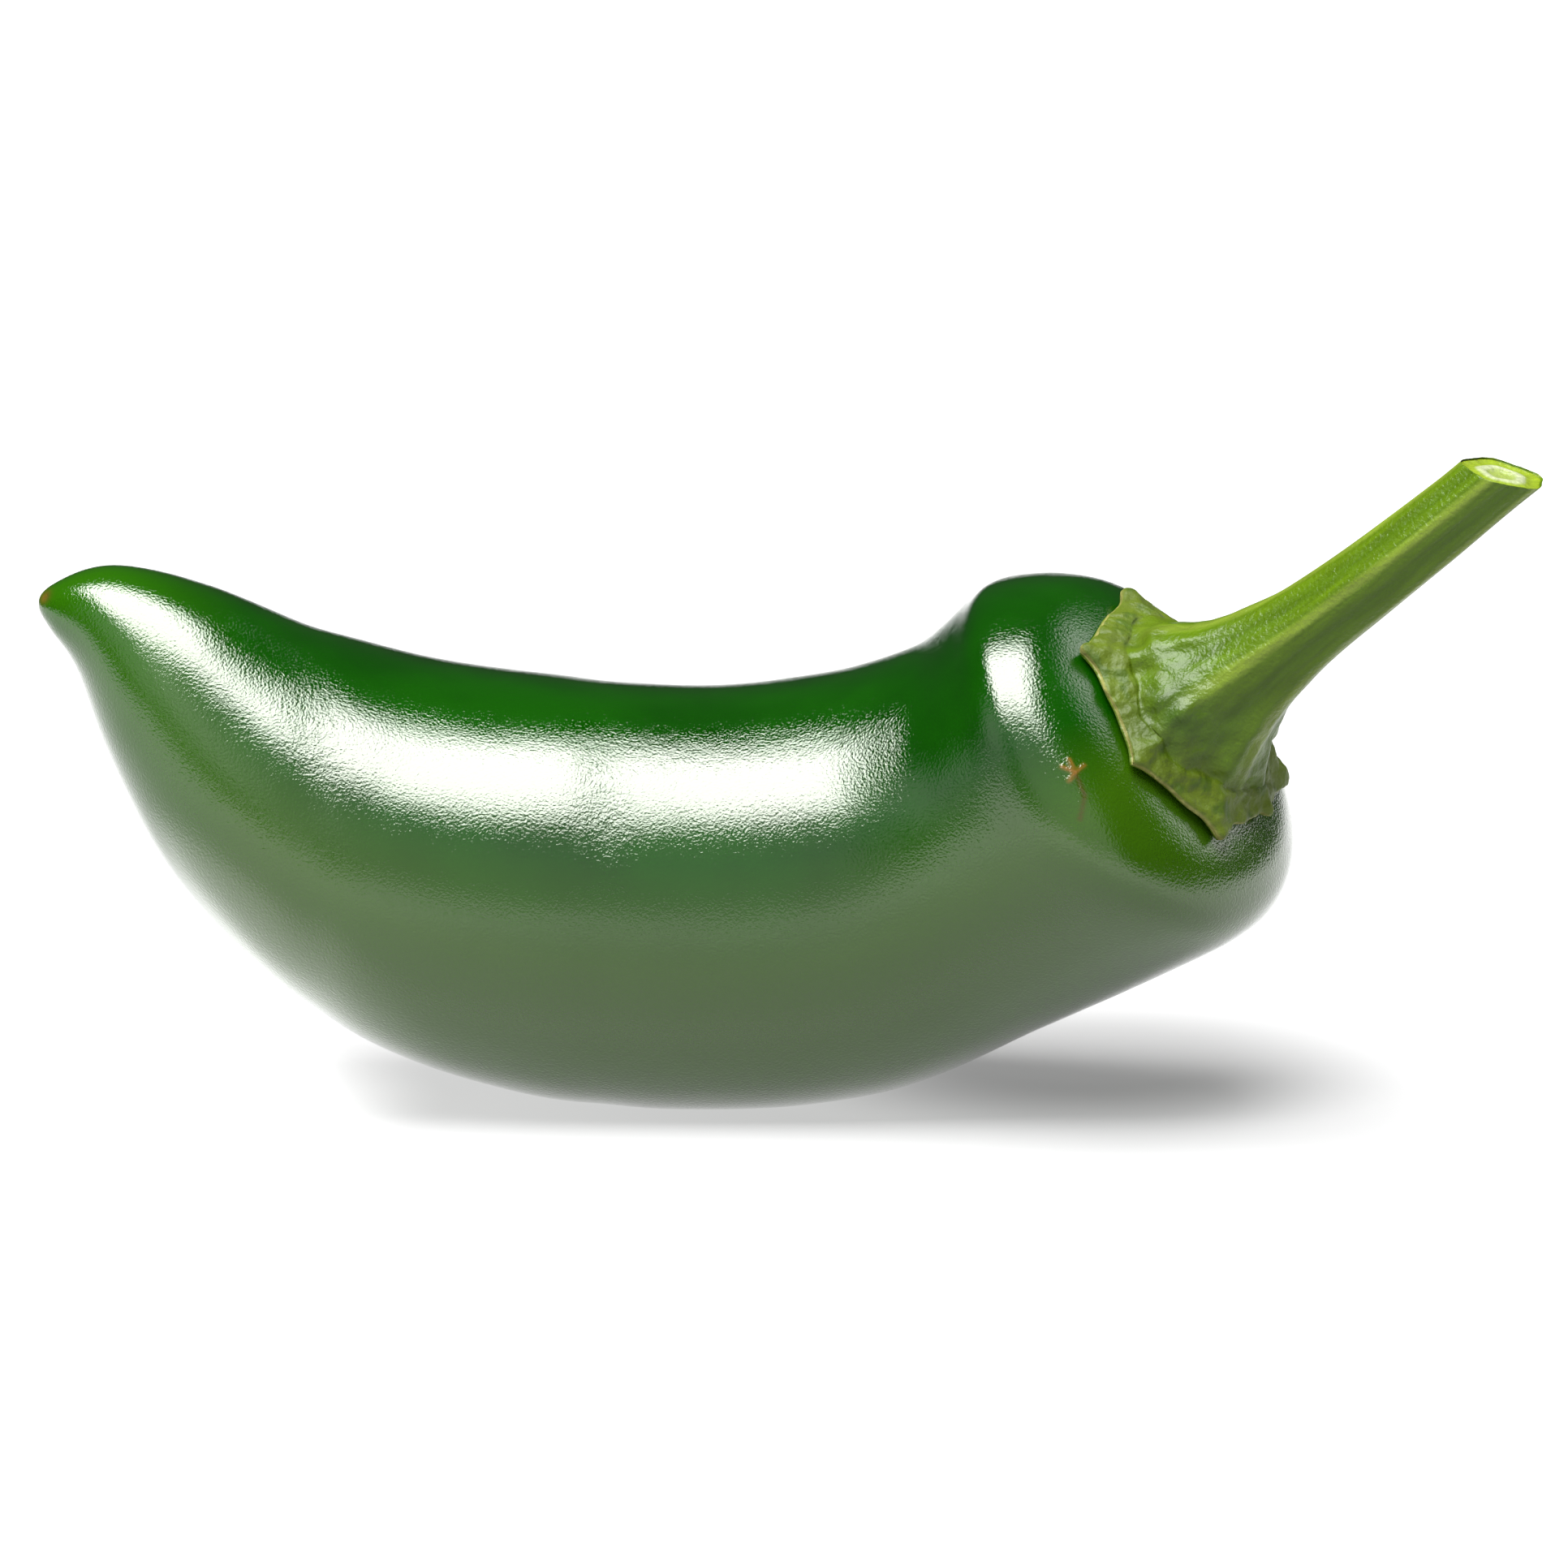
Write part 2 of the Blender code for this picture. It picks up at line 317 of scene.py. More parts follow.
class StemSettings(bpy.types.PropertyGroup):
    skin: bpy.props.FloatVectorProperty(
        name="Stem", description="Colour of the stem's skin", subtype="COLOR",
        size=3, min=0, max=1, default=linear("425a04"))
    calyx: bpy.props.FloatVectorProperty(
        name="Calyx", description="Colour of the drying brim of the calyx", subtype="COLOR",
        size=3, min=0, max=1, default=linear("44530a"))
    # The ridge colour is partly the stem's own paler tone and partly painted highlight.
    ridge: bpy.props.FloatVectorProperty(
        name="Ridge", description="Colour along the stem's ridges", subtype="COLOR",
        size=3, min=0, max=1, default=linear("5c6e20"))
    # The groove colour is partly painted shade between the ridges, and is also the painted shade in
    # the hollow in front of the stem's foot.
    groove: bpy.props.FloatVectorProperty(
        name="Groove", description="Colour between the ridges and of the brim's blots",
        subtype="COLOR", size=3, min=0, max=1, default=linear("284006"))
    edge: bpy.props.FloatVectorProperty(
        name="Edge", description="Colour of the calyx's dry edge", subtype="COLOR",
        size=3, min=0, max=1, default=linear("70703a"))
    cortex: bpy.props.FloatVectorProperty(
        name="Cortex", description="Colour of the cut outside its ring of wood", subtype="COLOR",
        size=3, min=0, max=1, default=linear("6a7c14"))
    rib: bpy.props.FloatProperty(
        name="Rib", description="Height of the ribs that run up from the teeth", default=0.00028,
        min=0, subtype="DISTANCE", unit="LENGTH")
    wood: bpy.props.FloatVectorProperty(
        name="Wood", description="Colour of the ring of wood in the cut", subtype="COLOR",
        size=3, min=0, max=1, default=linear("8f9674"))
    fibre: bpy.props.FloatProperty(
        name="Fibre", description="Height of the stem's fibres", default=0.00005,
        min=0, subtype="DISTANCE", unit="LENGTH")
    wrinkle: bpy.props.FloatProperty(
        name="Wrinkle", description="Height of the wrinkles in the brim", default=0.00026,
        min=0, subtype="DISTANCE", unit="LENGTH")
    columns: bpy.props.IntProperty(
        name="Columns", description="Faces round the stem", default=400, min=84, max=420)


class StageSettings(bpy.types.PropertyGroup):
    floor: bpy.props.FloatVectorProperty(
        name="Floor", description="Colour of the sheet under the pepper", subtype="COLOR",
        size=3, min=0, max=1, default=linear("848484"))
    glow: bpy.props.FloatProperty(
        name="Glow", description="Light that comes up through the sheet", default=1.1, min=0)
    light: bpy.props.FloatProperty(
        name="Main light", description="Power of the light overhead, for each square metre of it",
        default=50, min=0, unit="POWER")
    elevation: bpy.props.FloatProperty(
        name="Camera height", description="Angle of the camera above the floor",
        default=math.radians(12), subtype="ANGLE", unit="ROTATION")
    lens: bpy.props.FloatProperty(
        name="Lens", description="Focal length of the camera in millimetres", default=800,
        min=20, max=2000)


# Shape of the pod.

def smooth_rows(rows, place, mirror=1, column=None):
    """Values on a smooth curve through the rows, which runs on past each end as its mirror.

    Where the rows hold a point for each column of a mesh, column says which one each place reads.
    """
    rows = np.asarray(rows, float)
    padded = np.concatenate([rows[1:2] * mirror, rows, rows[-2:-1] * mirror])
    index = np.clip(np.floor(place), 0, len(rows) - 2).astype(int)
    u = (place - index)[..., None]
    a, b, c, d = (
        padded[index + step] if column is None else padded[index + step, column]
        for step in range(4)
    )
    return b + u / 2 * (c - a + u * (2 * a - 5 * b + 4 * c - d + u * (3 * (b - c) + d - a)))


def turn_from(angle, middle):
    """Degrees from a middle in degrees to an angle in radians, from -180 to 180."""
    return (np.degrees(angle) - middle + 180) % 360 - 180


def pod_axes(x, slope):
    """The unit vectors up and back across the pod at x."""
    yaw = np.arctan(np.maximum(x - BEND_START, 0) / BEND_RADIUS)
    pitch = np.radians(slope)
    up = (-np.sin(pitch) * np.cos(yaw), np.sin(pitch) * np.sin(yaw), np.cos(pitch))
    back = (np.sin(yaw), np.cos(yaw), 0 * yaw)
    return np.stack(up, -1), np.stack(back, -1)


def knuckle(skin, angle):
    """How far the shoulder's knuckle lifts the skin, from the crease to its slanting crest."""
    length = np.maximum(KNUCKLE_RUN - KNUCKLE_SLANT * (skin[..., 2] - KNUCKLE_LEVEL), KNUCKLE_LEAST)
    run = (skin[..., 0] - CREASE_X) / length
    rise = ramp(run, CREASE_SOFTNESS) - ramp(run - 1, CREST_SOFTNESS)
    side = np.exp(-((turn_from(angle, KNUCKLE_MIDDLE) / KNUCKLE_WIDTH) ** 4))
    return KNUCKLE_HEIGHT * rise * side


def ramp(run, softness):
    """A run where it is above zero, and zero below, with a soft bend between."""
    return (run + np.sqrt(run * run + softness)) / 2


def pod_skin(place, angle):
    """Points of the pod's skin: place counts rings from the tip, and 90 degrees is on top."""
    x, z, slope, high, wide = np.moveaxis(smooth_rows(POD_RINGS, place, RING_MIRROR), -1, 0)
    bend = np.maximum(x - BEND_START, 0)
    middle = np.stack([x, -bend * bend / (2 * BEND_RADIUS), z], -1)
    up, back = pod_axes(x, slope)
    lobes = np.cos(LOBES * (angle - math.radians(LOBE_MIDDLE)))
    swell = 1 + LOBE_DEPTH * lobes * np.minimum(bend / LOBE_RUN, 1)
    lean = LEAN_DEPTH * np.exp(-(((x - LEAN_X) / LEAN_RUN) ** 2))
    swell += lean * np.cos(2 * (angle - math.radians(LEAN_SIDE)))
    out = (high * np.sin(angle))[..., None] * up + (wide * np.cos(angle))[..., None] * back
    skin = middle + swell[..., None] * out
    lift = knuckle(skin, angle) * high / KNUCKLE_GIRTH**2
    skin = skin + lift[..., None] * out
    skin[..., 2] = np.maximum(skin[..., 2] - PRESS, 0)
    return skin


def shoulder_skin(radius, angle):
    """Points of the pod's skin at a distance from the middle of the stem end."""
    last = len(POD_RINGS) - 1
    widest = int(np.argmax([ring[0] + ring[3] for ring in POD_RINGS]))
    places = np.linspace(last, widest, LINE_STEPS)
    reach = smooth_rows(POD_RINGS, places, RING_MIRROR)[:, 3]
    return pod_skin(np.interp(radius, reach, places), angle)


# Shape of the stem and calyx.

def stem_frame(along):
    """The stem's middle at a distance along it, and its unit vectors ahead, up and back."""
    line = np.asarray(STEM_LINE)
    line = np.vstack([2 * line[0] - line[1], line, 2 * line[-1] - line[-2]])
    points = smooth_rows(line, np.linspace(1, len(STEM_LINE), LINE_STEPS), 1)
    lengths = np.append(0, np.cumsum(np.linalg.norm(np.diff(points, axis=0), axis=1)))
    middle, ahead = (
        np.array([np.interp(along, lengths, column) for column in columns.T])
        for columns in (points, np.gradient(points, axis=0))
    )
    ahead /= np.linalg.norm(ahead)
    up, _ = pod_axes(POD_RINGS[-1][0], POD_RINGS[-1][2])
    up = up - (up @ ahead) * ahead
    up /= np.linalg.norm(up)
    return middle, ahead, up, np.cross(up, ahead)


def brim_reach(angle):
    """How far out the calyx's brim reaches: nearly straight from tooth to tooth."""
    turn = np.degrees(angle) % 360
    reach = np.zeros_like(angle)
    ends = TEETH[1:] + ((TEETH[0][0] + 360, TEETH[0][1]),)
    for (start, near), (end, far) in zip(TEETH, ends):
        after = np.radians((turn - start) % 360)
        before = math.radians(end - start) - after
        chord = near * far * math.sin(math.radians(end - start))
        chord = chord / np.maximum(near * np.sin(after) + far * np.sin(before), 0.1 * near)
        bulge = 1 + BRIM_BULGE * np.sin(math.pi * after / math.radians(end - start))
        reach = np.where(before >= 0, chord * bulge, reach)
    fast, slow = BRIM_WAVES
    reach = reach + BRIM_WANDER * np.sin(fast * angle) * np.cos(slow * angle)
    return reach + TOOTH_POINT * np.exp(-tooth_turn(angle) / TOOTH_HALF_WIDTH)


def tooth_turn(angle):
    """Degrees from the nearest tooth of the calyx."""
    return np.min([np.abs(turn_from(angle, middle)) for middle, _ in TEETH], axis=0)


def calyx_ring(share, height, angle):
    """A ring of the calyx, at a share of the way from its crease out to its toothed edge."""
    _, ahead, _, _ = stem_frame(0)
    wander = sum(share * np.sin(count * angle + phase) for count, phase, share in CREASE_WANDER)
    crease = CREASE_RADIUS * (1 + wander)
    reach = crease + share * (brim_reach(angle) - crease)
    return shoulder_skin(reach, angle) + height * ahead


def stem_ring(along, radius, angle):
    """A ring round the stem. The rings lean over, more and more, into the slanting cut."""
    middle, ahead, up, back = stem_frame(along)
    ridges = 1 + RIDGE_HEIGHT * np.cos(STEM_RIDGES * (angle - math.radians(RIDGE_MIDDLE)))
    out = np.sin(angle)[..., None] * up + np.cos(angle)[..., None] * back
    out = (radius * ridges)[..., None] * out
    length = STEM_GIRTH[-1][0]
    lean = -(out @ CUT_FACING) / (ahead @ CUT_FACING) * (along / length) ** 2
    return middle + out + lean[..., None] * ahead


def stem_rings(angle):
    """Every ring from the middle of the calyx's underside to the middle of the cut."""
    _, ahead, _, _ = stem_frame(0)
    rings = [shoulder_skin(0 * angle, angle) + BRIM_UNDER[0][1] * ahead]
    rings += [calyx_ring(share, height, angle) for share, height in BRIM_UNDER]
    rings += [calyx_ring(share, height, angle) for share, height in BRIM_EDGE]
    rings += [calyx_ring(share, height, angle) for share, height in BRIM_OVER]
    rings += [stem_ring(along, radius, angle) for along, radius in STEM_GIRTH]
    length, radius = STEM_GIRTH[-1]
    facing = np.array(CUT_FACING) / np.linalg.norm(CUT_FACING)
    rings += [
        stem_ring(length, share * radius, angle) + height * facing for share, height in CUT_RINGS]
    return np.array(rings)


# Meshes and their relief.

def loft(name, columns, rows, point_at):
    """A closed mesh of rings between two end points, as the lines of latitude on a globe.

    point_at gives the points for their places, from 0 to 1 along the mesh, and their angles
    round it. Returns the mesh, and the place and angle of each of its points.
    """
    place = np.repeat(np.arange(1, rows) / rows, columns)
    angle = np.tile(np.arange(columns) * 2 * math.pi / columns, rows - 1)
    place = np.concatenate([[0], place, [1]])
    angle = np.concatenate([[0], angle, [0]])
    ring = 1 + np.arange((rows - 1) * columns).reshape(rows - 1, columns)
    beside = np.roll(ring, -1, 1)
    ends = 0 * ring[0], 0 * ring[0] + ring[-1, -1] + 1
    quads = np.stack([ring[:-1], beside[:-1], beside[1:], ring[1:]], -1).reshape(-1, 4)
    fans = np.vstack([
        np.stack([ends[0], beside[0], ring[0]], -1), np.stack([ring[-1], beside[-1], ends[1]], -1)])
    mesh = bpy.data.meshes.new(name)
    mesh.from_pydata(point_at(place, angle), [], quads.tolist() + fans.tolist())
    return mesh, place, angle


def read_points(mesh, what="co"):
    """The places of a mesh's points, or their normals, a row for each."""
    values = np.zeros(len(mesh.vertices) * 3, np.float32)
    mesh.vertices.foreach_get(what, values)
    return values.reshape(-1, 3).astype(float)


def write_points(mesh, points):
    """Moves a mesh's points to new places."""
    mesh.vertices.foreach_set("co", points.astype(np.float32).ravel())
    mesh.update()


def raise_skin(mesh, height):
    """Moves each point out along the surface by its height."""
    write_points(mesh, read_points(mesh) + height[:, None] * read_points(mesh, "normal"))


def mark(mesh, name, values):
    """Keeps one number for each point, which a material reads by its name."""
    layer = mesh.attributes.new(name, "FLOAT", "POINT")
    layer.data.foreach_set("value", values.astype(np.float32))


def waves(points, size, seed):
    """Smooth noise at the points, from about -1 to 1, with its waves a given size."""
    return np.array([noise.noise(Vector(point)) for point in points / size + seed])


def distance_to(points, line):
    """How far the points are from the nearest stretch of a line."""
    nearest = np.full(len(points), np.inf)
    for start, end in zip(np.array(line[:-1]), np.array(line[1:])):
        share = np.clip((points - start) @ (end - start) / ((end - start) @ (end - start)), 0, 1)
        gap = np.linalg.norm(points - start - share[:, None] * (end - start), axis=1)
        nearest = np.minimum(nearest, gap)
    return nearest


def show(mesh, material, node):
    """Puts the finished mesh in the scene in place of its solid."""
    mesh.materials.append(material)
    mesh.shade_smooth()
    piece = bpy.data.objects.new(mesh.name, mesh)
    bpy.context.scene.collection.objects.link(piece)
    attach(piece, "root")
    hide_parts(node)


# Materials.

def add_node(tree, kind, inputs=None, output=None, **settings):
    """Adds a node with its settings, and returns its first output or the one that is named.

    Each input takes a value, or a socket to link from.
    """
    made = tree.nodes.new(kind)
    for name, value in settings.items():
        setattr(made, name, value)
    sockets = {socket.identifier: socket for socket in made.inputs}
    for name, value in (inputs or {}).items():
        if isinstance(value, bpy.types.NodeSocket):
            tree.links.new(value, sockets[name])
        else:
            sockets[name].default_value = value
    outputs = [socket for socket in made.outputs if not socket.is_unavailable]
    return next(socket for socket in outputs if output in (None, socket.name))


def new_material(name):
    """A material, its tree and shader, and the object's coordinates in millimetres."""
    material = bpy.data.materials.new(name)
    material.use_nodes = True
    tree = material.node_tree
    place = add_node(tree, "ShaderNodeTexCoord", output="Object")
    mm = add_node(
        tree, "ShaderNodeVectorMath", {"Vector": place, "Scale": 1 / MM}, operation="SCALE")
    return material, tree, tree.nodes["Principled BSDF"], mm


def painted(tree, colour, paints):
    """The colour with each paint over it, as thick as the mark or socket given with it says."""
    for thickness, paint in paints:
        if isinstance(thickness, str):
            thickness = add_node(
                tree, "ShaderNodeAttribute", output="Fac", attribute_name=thickness)
        colour = add_node(tree, "ShaderNodeMix", {
            "Factor_Float": thickness, "A_Color": colour, "B_Color": (*paint, 1),
        }, data_type="RGBA")
    return colour


def waxed_pepper_skin(look):
    """Ripe jalapeno skin under its own wax: deep clear green with a hard wet gloss.

    The wax is a thin smooth coat, so the light overhead shows as a white band. The cells of the
    skin break the band's edges up into a glitter of specks. They are about 0.05 mm across, too
    fine to show, so they are drawn at 0.17 mm.
    """
    material, tree, shader, mm = new_material("waxed_pepper_skin")
    patches = add_node(tree, "ShaderNodeTexNoise", {"Vector": mm, "Scale": 1 / PATCH_MM, "Detail": 3})
    patches = add_node(tree, "ShaderNodeMapRange", {
        "Value": patches, "From Min": 0.62, "From Max": 0.38})
    # The belly paint is partly painted light bounced up from the sheet.
    colour = painted(tree, (*look.skin, 1), (
        (patches, look.deep), ("belly", look.belly), ("young", look.tip), ("tail", look.tail),
        ("cork", look.cork)))
    tree.links.new(colour, shader.inputs["Base Color"])
    cells = add_node(tree, "ShaderNodeTexNoise", {
        "Vector": mm, "Scale": 1 / SKIN_CELL_MM, "Detail": 2})
    leather = add_node(tree, "ShaderNodeAttribute", output="Fac", attribute_name="leather")
    strength = add_node(tree, "ShaderNodeMapRange", {
        "Value": leather, "To Min": 0.6, "To Max": 1.0})
    bump = add_node(tree, "ShaderNodeBump", {
        "Height": cells, "Strength": strength, "Distance": 0.05 * MM})
    wrinkles = add_node(tree, "ShaderNodeTexNoise", {
        "Vector": mm, "Scale": 1 / SKIN_WRINKLE_MM, "Detail": 3})
    bump = add_node(tree, "ShaderNodeBump", {
        "Height": wrinkles, "Strength": leather, "Distance": 0.06 * MM, "Normal": bump})
    tree.links.new(bump, shader.inputs["Normal"])
    tree.links.new(bump, shader.inputs["Coat Normal"])
    shader.inputs["Roughness"].default_value = 0.12
    shader.inputs["IOR"].default_value = 1.43
    shader.inputs["Specular Tint"].default_value = (1, 1, 0.85, 1)
    shader.inputs["Coat Weight"].default_value = 1
    shader.inputs["Coat IOR"].default_value = 1.45
    shader.inputs["Coat Roughness"].default_value = 0.07
    return material


def fibrous_stem_skin(look):
    """The stem's green skin over its fibres: satin, with paler ridges along its length, partly
    painted highlight, darker valleys between them, partly painted shade, and painted shade of a
    darker green in the hollow in front of its foot.

    The brim of the calyx has begun to dry, so it is olive and dull with a pale edge, and the
    cut shows a ring of pale wood round the pith. Cells break up the shine. They are under 0.1 mm
    across, too fine to show, so they are drawn at 0.3 mm.
    """
    material, tree, shader, mm = new_material("fibrous_stem_skin")
    fibre = add_node(tree, "ShaderNodeAttribute", output="Vector", attribute_name="fibre_place")
    streaks = add_node(tree, "ShaderNodeTexNoise", {
        "Vector": fibre, "Scale": 1 / STREAK_MM, "Detail": 3})
    streaks = add_node(tree, "ShaderNodeMapRange", {
        "Value": streaks, "From Min": 0.35, "From Max": 0.65, "To Min": 0.86, "To Max": 1.12})
    blots = add_node(tree, "ShaderNodeTexNoise", {
        "Vector": mm, "Scale": 1 / BLOT_MM, "Detail": 4})
    blots = add_node(tree, "ShaderNodeMapRange", {
        "Value": blots, "From Min": 0.54, "From Max": 0.64, "To Max": 0.6})
    brim_mark = add_node(tree, "ShaderNodeAttribute", output="Fac", attribute_name="brim")
    blots = add_node(
        tree, "ShaderNodeMath", {"Value": blots, "Value_001": brim_mark}, operation="MULTIPLY")
    # The throat paint is painted shade in the hollow in front of the stem's foot.
    colour = painted(tree, (*look.skin, 1), (
        ("ridge", look.ridge), ("groove", look.groove), (brim_mark, look.calyx),
        ("throat_shade", look.groove), (blots, look.groove), ("edge", look.edge),
        ("cortex", look.cortex), ("wood", look.wood)))
    colour = add_node(tree, "ShaderNodeMix", {
        "Factor_Float": 1.0, "A_Color": colour, "B_Color": streaks,
    }, data_type="RGBA", blend_type="MULTIPLY")
    tree.links.new(colour, shader.inputs["Base Color"])
    dullness = add_node(tree, "ShaderNodeMapRange", {
        "Value": brim_mark, "To Min": 0.30, "To Max": 0.5})
    tree.links.new(dullness, shader.inputs["Roughness"])
    cells = add_node(tree, "ShaderNodeTexNoise", {
        "Vector": mm, "Scale": 1 / STEM_CELL_MM, "Detail": 2})
    bump = add_node(tree, "ShaderNodeBump", {
        "Height": cells, "Strength": 1.0, "Distance": 0.08 * MM})
    tree.links.new(bump, shader.inputs["Normal"])
    shader.inputs["IOR"].default_value = 1.45
    shader.inputs["Specular IOR Level"].default_value = 0.3
    return material


def opal_acrylic(look):
    """A cast sheet of opal acrylic with a blasted face: matt white, and lit from below.

    Its light is even but for a few wide soft spots of painted shadow and painted light, so it has
    no texture that shows.
    """
    material, tree, shader, mm = new_material("opal_acrylic")
    glow = look.glow
    # Painted shadow and light: each spot makes the sheet's glow weaker or stronger round a place.
    for place, near, far, change in PAINTED_LIGHT_AND_SHADOW_SPOTS:
        away = add_node(tree, "ShaderNodeVectorMath", {"Vector": mm, "Vector_001": place},
                        output="Value", operation="DISTANCE")
        spot = add_node(tree, "ShaderNodeMapRange", {
            "Value": away, "From Min": near, "From Max": far, "To Min": change, "To Max": 0.0,
        }, interpolation_type="SMOOTHSTEP")
        glow = add_node(tree, "ShaderNodeMath", {"Value": spot, "Value_001": glow}, operation="ADD")
    tree.links.new(glow, shader.inputs["Emission Strength"])
    shader.inputs["Base Color"].default_value = (*look.floor, 1)
    shader.inputs["Roughness"].default_value = 0.9
    shader.inputs["Specular IOR Level"].default_value = 0.1
    shader.inputs["Emission Color"].default_value = (1, 1, 1, 1)
    return material


# The operators.

class GrowPod(bpy.types.Operator):
    """Grow the pepper's pod over its solid"""
    bl_idname = "jalapeno.grow_pod"
    bl_label = "Pod"

    def execute(self, context):
        look = context.scene.jalapeno_pod
        last = len(POD_RINGS) - 1
        mesh, _, angle = loft(
            "jalapeno_pod", look.columns, look.rows,
            lambda place, angle: pod_skin(place * last, angle))
        points = read_points(mesh)
        height = sum(
            look.wave * share * waves(points, size, seed) for size, seed, share in SKIN_WAVES)
        for x, depth, half in WAISTS:
            height -= depth * np.exp(-(((points[:, 0] - x) / half) ** 2))
        crack = np.min([distance_to(points, (CORK_MIDDLE, end)) for end in CORK_ENDS], axis=0)
        cork = np.exp(-((crack / CRACK_WIDTH) ** 2))
        tail = np.exp(-((distance_to(points, CORK_TAIL) / TAIL_WIDTH) ** 2))
        height += CRACK_HEIGHT * cork
        gap = np.linalg.norm(points - STYLE_SCAR, axis=1) / SCAR_WIDTH
        scar = np.exp(-gap**2)
        height -= SCAR_DEPTH * scar
        raise_skin(mesh, height)
        points = read_points(mesh)
        points[:, 2] = np.maximum(points[:, 2], 0)
        write_points(mesh, points)
        mark(mesh, "cork", np.clip(cork + SCAR_CORK * scar, 0, 1))
        mark(mesh, "tail", TAIL_BROWN * tail + SCAR_BROWN * scar)
        mark(mesh, "young", np.clip((YOUNG_END - points[:, 0]) / YOUNG_BLEND, 0, 1))
        dull = np.exp(-((turn_from(angle, LEATHER_PATCH[0]) / LEATHER_PATCH[1]) ** 2))
        dull *= np.interp(points[:, 0], *zip(*LEATHER_PATCH_X))
        for x, _, half in WAISTS:
            dull = np.maximum(dull, np.exp(-(((points[:, 0] - x) / half) ** 2)))
        dull *= np.exp(-((turn_from(angle, LEATHER_BAND[0]) / LEATHER_BAND[1]) ** 4))
        mark(mesh, "leather", dull)
        # The lower half is painted yellower: partly the skin's own tone, partly painted bounce light.
        mark(mesh, "belly", np.clip((BELLY_AND_BOUNCE_LIGHT_START - np.sin(angle)) / BELLY_AND_BOUNCE_LIGHT_BLEND, 0, 1))
        show(mesh, waxed_pepper_skin(look), "pod")
        return {"FINISHED"}


class GrowStem(bpy.types.Operator):
    """Grow the pepper's stem and calyx over their solid"""
    bl_idname = "jalapeno.grow_stem"
    bl_label = "Stem and calyx"

    def execute(self, context):
        look = context.scene.jalapeno_stem
        last = len(stem_rings(np.zeros(1))) - 1
        mesh, place, angle = loft(
            "jalapeno_stem_and_calyx", look.columns, last * STEM_ROWS,
            lambda place, angle: smooth_rows(
                stem_rings(angle), place * last, 1, np.arange(len(angle))))
        points = read_points(mesh)
        # Rings are counted from the underside of the calyx: its edge, its crease and the cut.
        station = place * last
        edge = len(BRIM_UNDER) + 2
        crease = edge + 1 + len(BRIM_OVER)
        cut = crease + len(STEM_GIRTH)
        fray = station + FRAY * waves(points, *FRAY_WAVES) * (station > edge + 1)
        on_brim = np.interp(fray, [edge - 1, edge, crease - 1.2, crease + 1.4], [0, 1, 1, 0])
        on_stem = np.interp(station, [crease - 1, crease + 2, cut, cut + 0.5], [0, 1, 1, 0])
        along = np.interp(
            station, crease + np.arange(len(STEM_GIRTH)), [row[0] for row in STEM_GIRTH])
        fibre = np.stack([
            FIBRE_GIRTH * np.cos(angle), FIBRE_GIRTH * np.sin(angle), along / MM / FIBRE_STRETCH], -1)
        rib = np.exp(-((tooth_turn(angle) / RIB_HALF_WIDTH) ** 2)) * np.interp(
            station, [edge, edge + 1, crease + 1, crease + 4], [0.3, 1, 1, 0])
        folded = np.interp(station, [edge - 1, edge, crease + 1, crease + 4], [0, 1, 1, 0])
        height = look.wrinkle * folded * waves(points, *BRIM_WRINKLES)
        height += look.wrinkle / 3 * on_brim * waves(points, *BRIM_CRUMPLES)
        height += look.rib * rib
        height += look.fibre * on_stem * waves(fibre, *FIBRE_RELIEF)
        raise_skin(mesh, height)
        layer = mesh.attributes.new("fibre_place", "FLOAT_VECTOR", "POINT")
        layer.data.foreach_set("vector", fibre.astype(np.float32).ravel())
        wander = RIDGE_WANDER * waves(fibre, *RIDGE_DRIFT)
        ridges = np.cos(STEM_RIDGES * (angle - math.radians(RIDGE_MIDDLE)) + wander)
        # Paler ridge tops, partly painted highlight, and darker valleys, partly painted shade.
        mark(mesh, "ridge", on_stem * np.clip((ridges - RIDGE_START) / (1 - RIDGE_START), 0, 1))
        valleys = np.clip((GROOVE_START - ridges) / (1 + GROOVE_START), 0, 1)
        mark(mesh, "groove", on_stem * valleys * GROOVE_COLOUR)
        rim = [edge - 0.6, edge - 0.2, edge + 0.5, edge + 0.9]
        mark(mesh, "edge", np.interp(station, rim, [0, 1, 1, 0]))
        across = np.clip(station - cut, 0, None)
        across = across + CUT_FRAY * waves(points, *CUT_WAVES) * (station > cut)
        mark(mesh, "cortex", np.interp(across, *zip(*CORTEX_SHARE)))
        mark(mesh, "wood", np.interp(across, *zip(*WOOD_SHARE)))
        mark(mesh, "brim", on_brim)
        # Painted shade: the hollow in front of the stem's foot is coloured a darker green.
        throat_shade = np.exp(-((np.linalg.norm(points - THROAT_SHADE, axis=1) / THROAT_SHADE_SPREAD) ** 2))
        patchy = THROAT_SHADE_COLOUR + (1 - THROAT_SHADE_COLOUR) * waves(points, *THROAT_SHADE_PATCHES)
        mark(mesh, "throat_shade", throat_shade * np.clip(patchy, 0, 1))
        show(mesh, fibrous_stem_skin(look), "stem_and_calyx")
        return {"FINISHED"}


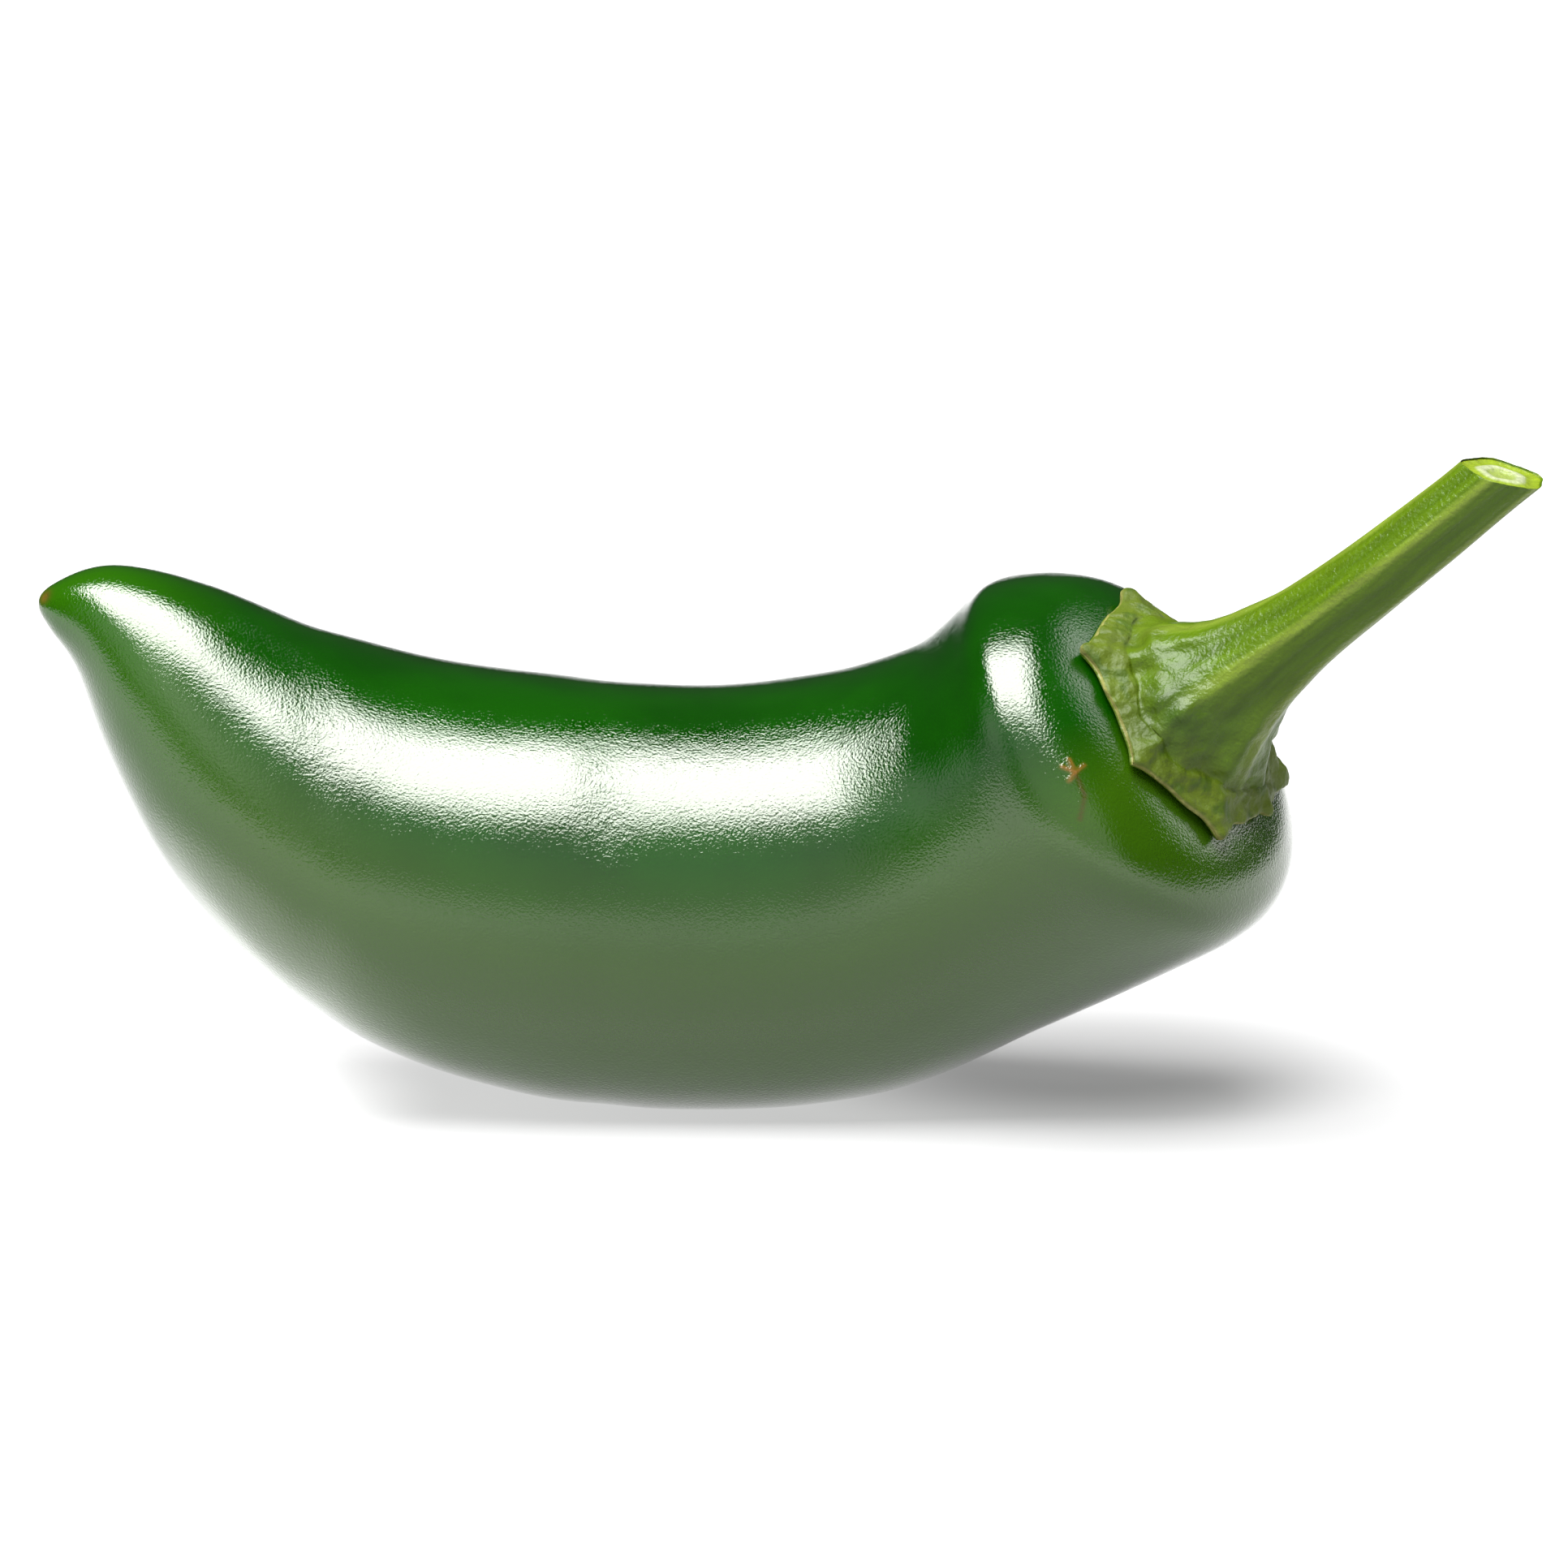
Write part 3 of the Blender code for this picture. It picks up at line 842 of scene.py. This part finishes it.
class SetStage(bpy.types.Operator):
    """Lay the white sheet and set the lights and the camera"""
    bl_idname = "jalapeno.set_stage"
    bl_label = "Stage"

    def execute(self, context):
        look = context.scene.jalapeno_stage
        bpy.ops.mesh.primitive_plane_add(size=FLOOR_SIZE, location=(0, 0, 0))
        floor = context.object
        floor.name = "white_sheet"
        floor.data.materials.append(opal_acrylic(look))
        for name, target, turns, away, wide, high, strength in LAMPS:
            lamp = bpy.data.lights.new(name, "AREA")
            lamp.shape = "RECTANGLE"
            lamp.size = wide
            lamp.size_y = high
            lamp.energy = look.light * strength * wide * high
            holder = bpy.data.objects.new(name, lamp)
            turn = Euler([math.radians(degrees) for degrees in turns])
            holder.rotation_euler = turn
            holder.visible_camera = False
            holder.location = Vector(target) + turn.to_matrix() @ Vector((0, 0, away))
            context.scene.collection.objects.link(holder)
        world = bpy.data.worlds.new("dim_room")
        world.use_nodes = True
        room = world.node_tree.nodes["Background"]
        room.inputs["Color"].default_value = (1, 1, 1, 1)
        room.inputs["Strength"].default_value = ROOM_LIGHT
        context.scene.world = world
        context.scene.view_settings.view_transform = "Standard"
        lens = bpy.data.cameras.new("camera")
        lens.lens = look.lens
        lens.clip_end = CAMERA_REACH
        holder = bpy.data.objects.new("camera", lens)
        lift = look.elevation
        way = Vector((0, -math.cos(lift), math.sin(lift)))
        up = Vector((0, math.sin(lift), math.cos(lift)))
        centre = Vector((FRAME_X, 0, 0)) + FRAME_RISE * up
        holder.location = centre + way * (FRAME_WIDTH * lens.lens / lens.sensor_width)
        holder.rotation_euler = way.to_track_quat("Z", "Y").to_euler()
        context.scene.collection.objects.link(holder)
        context.scene.camera = holder
        return {"FINISHED"}


class PepperPanel(bpy.types.Panel):
    """The pieces of the pepper, in the 3D view's sidebar"""
    bl_idname = "VIEW3D_PT_jalapeno"
    bl_label = "Jalapeno pepper"
    bl_space_type = "VIEW_3D"
    bl_region_type = "UI"
    bl_category = "Pepper"

    def draw(self, context):
        for operator, group in (
            (GrowPod, "jalapeno_pod"), (GrowStem, "jalapeno_stem"), (SetStage, "jalapeno_stage"),
        ):
            box = self.layout.box()
            box.operator(operator.bl_idname)
            settings = getattr(context.scene, group)
            for name in settings.bl_rna.properties.keys():
                if name not in ("rna_type", "name"):
                    box.prop(settings, name)


CLASSES = (PodSettings, StemSettings, StageSettings, GrowPod, GrowStem, SetStage, PepperPanel)


def register():
    for new_class in CLASSES:
        bpy.utils.register_class(new_class)
    bpy.types.Scene.jalapeno_pod = bpy.props.PointerProperty(type=PodSettings)
    bpy.types.Scene.jalapeno_stem = bpy.props.PointerProperty(type=StemSettings)
    bpy.types.Scene.jalapeno_stage = bpy.props.PointerProperty(type=StageSettings)


def unregister():
    del bpy.types.Scene.jalapeno_stage
    del bpy.types.Scene.jalapeno_stem
    del bpy.types.Scene.jalapeno_pod
    for old_class in reversed(CLASSES):
        bpy.utils.unregister_class(old_class)


def main():
    register()
    bpy.ops.jalapeno.grow_pod()
    bpy.ops.jalapeno.grow_stem()
    bpy.ops.jalapeno.set_stage()


if __name__ == "__main__":
    main()
